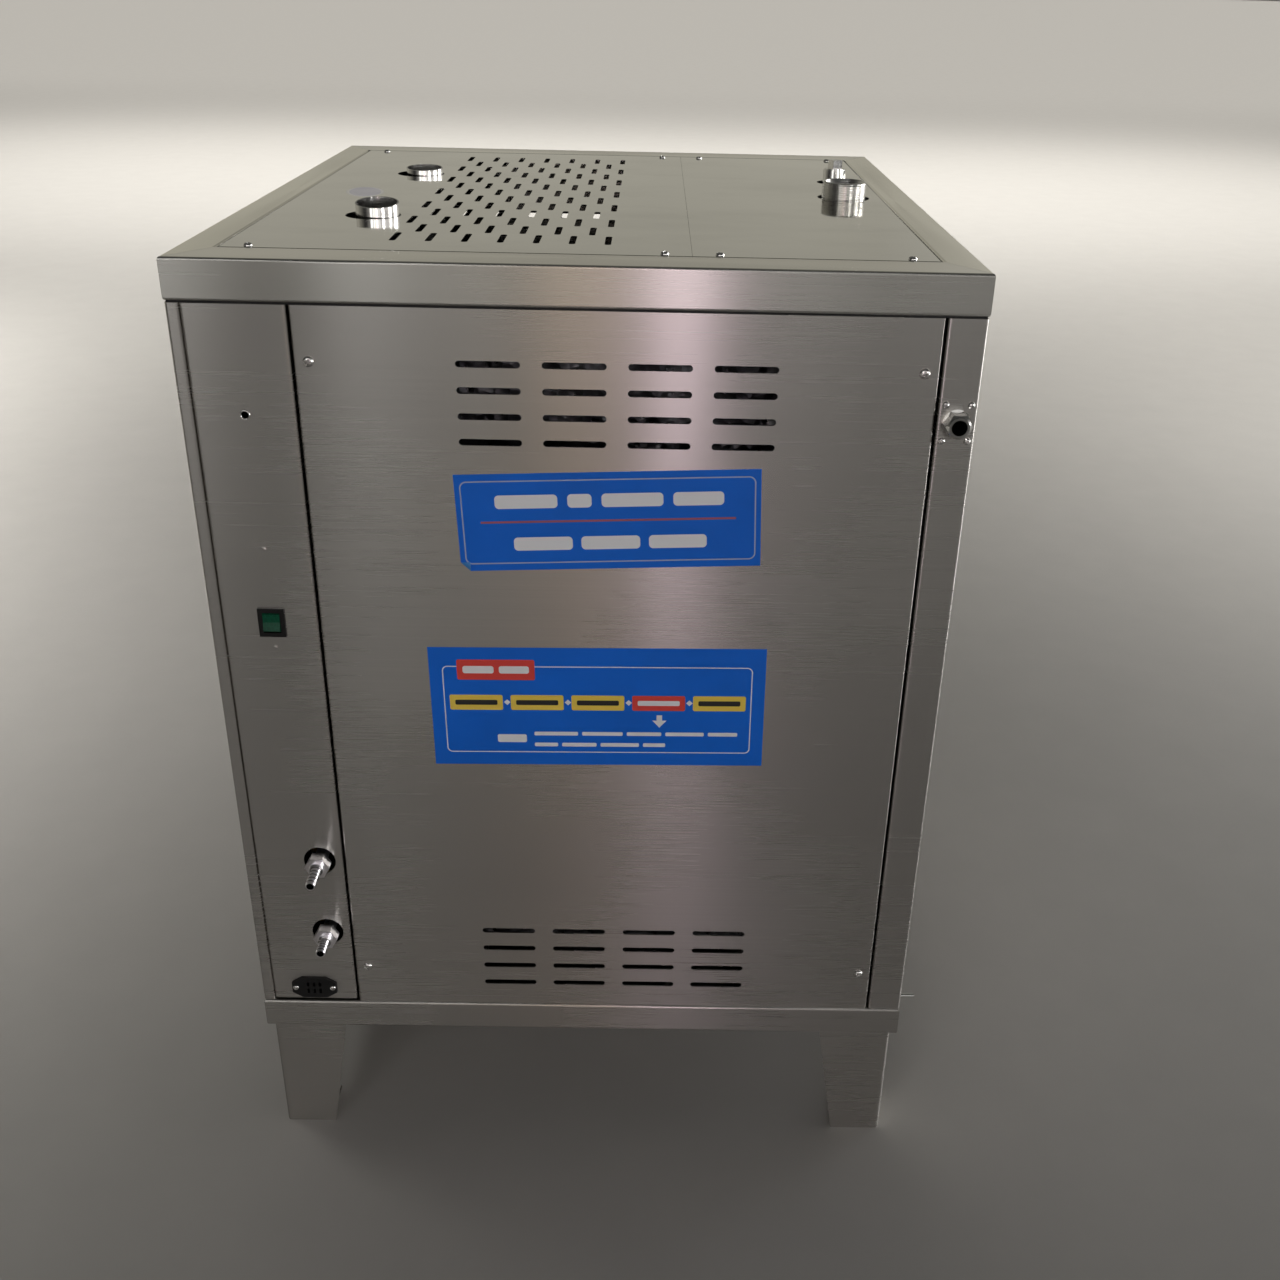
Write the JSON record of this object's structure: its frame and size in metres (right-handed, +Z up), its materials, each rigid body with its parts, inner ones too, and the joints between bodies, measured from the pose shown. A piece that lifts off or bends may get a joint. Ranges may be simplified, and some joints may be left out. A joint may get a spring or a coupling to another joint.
{
  "type": "gas-fired steam boiler cabinet",
  "caption": "Free-standing stainless steam boiler cabinet on folded legs, with slotted access panel, perforated top, flue stubs, steam stub, plugged nipple, hose tails and rocker switch.",
  "frame": {"origin": "on the floor, under the middle of the whole outline with the hose tails and the side pin included", "axes": "+Z up, -Y out of the front with the access panel, +X to the right when facing that front"},
  "size_m": [0.716, 0.843, 1.0055],
  "materials": {
    "cabinet_steel": "fine horizontal brushed grain",
    "mirror_steel": "mirror-polished stainless",
    "pipe_steel": "bright drawn stainless tube",
    "fitting_metal": "bright turned fittings",
    "jacket_foil": "crinkled insulation foil",
    "valve_brass": "forged",
    "black_rubber": "matt seal strip",
    "black_plastic": "moulded",
    "black_paint": "dull black",
    "label_vinyl": "printed vinyl, lettering left out",
    "green_plastic": "translucent rocker"
  },
  "bodies": {
    "cabinet": {"leg_front_left": "cabinet_steel", "leg_front_right": "cabinet_steel", "leg_back_left": "cabinet_steel", "leg_back_right": "cabinet_steel", "base_rail_front": "cabinet_steel", "base_rail_back": "cabinet_steel", "base_rail_left": "cabinet_steel", "base_rail_right": "cabinet_steel", "floor_pan": "cabinet_steel", "side_panel_left": "cabinet_steel", "side_panel_right": "cabinet_steel", "back_panel": "cabinet_steel", "service_panel": "cabinet_steel", "access_panel": "cabinet_steel", "mullion_left": "black_paint", "mullion_right": "black_paint", "rim_front": "cabinet_steel", "rim_back": "cabinet_steel", "rim_left": "cabinet_steel", "rim_right": "cabinet_steel", "rim_seal": "black_rubber", "top_plate_left": "mirror_steel", "top_plate_right": "mirror_steel", "top_bearer": "cabinet_steel", "boiler_body": "jacket_foil", "cradle_left": "cabinet_steel", "cradle_right": "cabinet_steel", "flue_stub_front": "pipe_steel", "flue_stub_rear": "pipe_steel", "steam_stub": "pipe_steel", "test_nipple": "pipe_steel", "nipple_plug": "fitting_metal", "steam_outlet": "fitting_metal", "outlet_pipe": "pipe_steel", "hose_tail_upper": "fitting_metal", "hose_tail_lower": "fitting_metal", "gas_valve_upper": "valve_brass", "gas_valve_lower": "valve_brass", "power_socket": "black_plastic", "switch_frame": "black_plastic", "side_pin": "fitting_metal"},
    "rocker": {"switch_rocker": "green_plastic"}
  },
  "joints": [
    {"name": "switch_rock", "type": "hinge", "parent": "cabinet", "child": "rocker", "pos_m": [-0.2992, -0.3745, 0.644], "axis": [1, 0, 0], "range_deg": [0, 18]}
  ]
}
